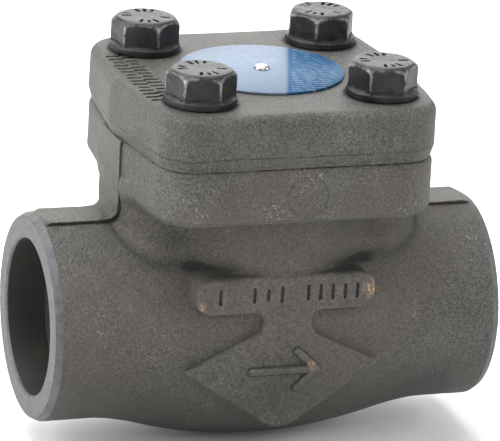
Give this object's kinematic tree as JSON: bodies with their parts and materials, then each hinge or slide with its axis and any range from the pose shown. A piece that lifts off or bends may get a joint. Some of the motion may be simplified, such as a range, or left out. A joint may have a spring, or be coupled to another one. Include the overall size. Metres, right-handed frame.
{
  "type": "lift check valve",
  "caption": "Forged steel bolted-cover lift check valve with socket-weld ends, a square bolted cover and a spring-loaded piston that lifts off a horizontal seat.",
  "frame": {"origin": "centre of the inlet socket's mouth, on the pipe axis", "axes": "+X along the flow, from the inlet socket to the outlet socket; +Z towards the cover, along the piston's travel; +Y across the pipe, so the raised pads are on the -Y side"},
  "size_m": [0.145, 0.091, 0.1285],
  "materials": {
    "forged_steel": "shot-blasted and phosphated, dark warm grey, satin",
    "cover_steel": "shot-blasted and phosphated, dark warm grey, satin",
    "machined_steel": "turned and ground",
    "spring_steel": "drawn wire",
    "gasket_steel": "rolled strip",
    "graphite": "pressed graphite",
    "bolt_steel": "black oxide with worn edges",
    "name_plate": "satin, printed blue",
    "rivet": "bright"
  },
  "bodies": {
    "housing": {"body": "forged_steel", "seat_ring": "machined_steel", "gasket_winding": "gasket_steel", "gasket_filler": "graphite", "cover": "cover_steel", "cover_bolt_1": "bolt_steel", "cover_bolt_2": "bolt_steel", "cover_bolt_3": "bolt_steel", "cover_bolt_4": "bolt_steel", "name_plate": "name_plate", "name_plate_rivet": "rivet", "return_spring": "spring_steel"},
    "piston": {"piston": "machined_steel"}
  },
  "joints": [
    {"name": "piston_lift", "type": "slide", "parent": "housing", "child": "piston", "axis": [0, 0, 1], "range_m": [0, 0.01], "stiffness_N_per_m": 200, "springref_m": -0.01, "deforming": ["return_spring"]}
  ]
}
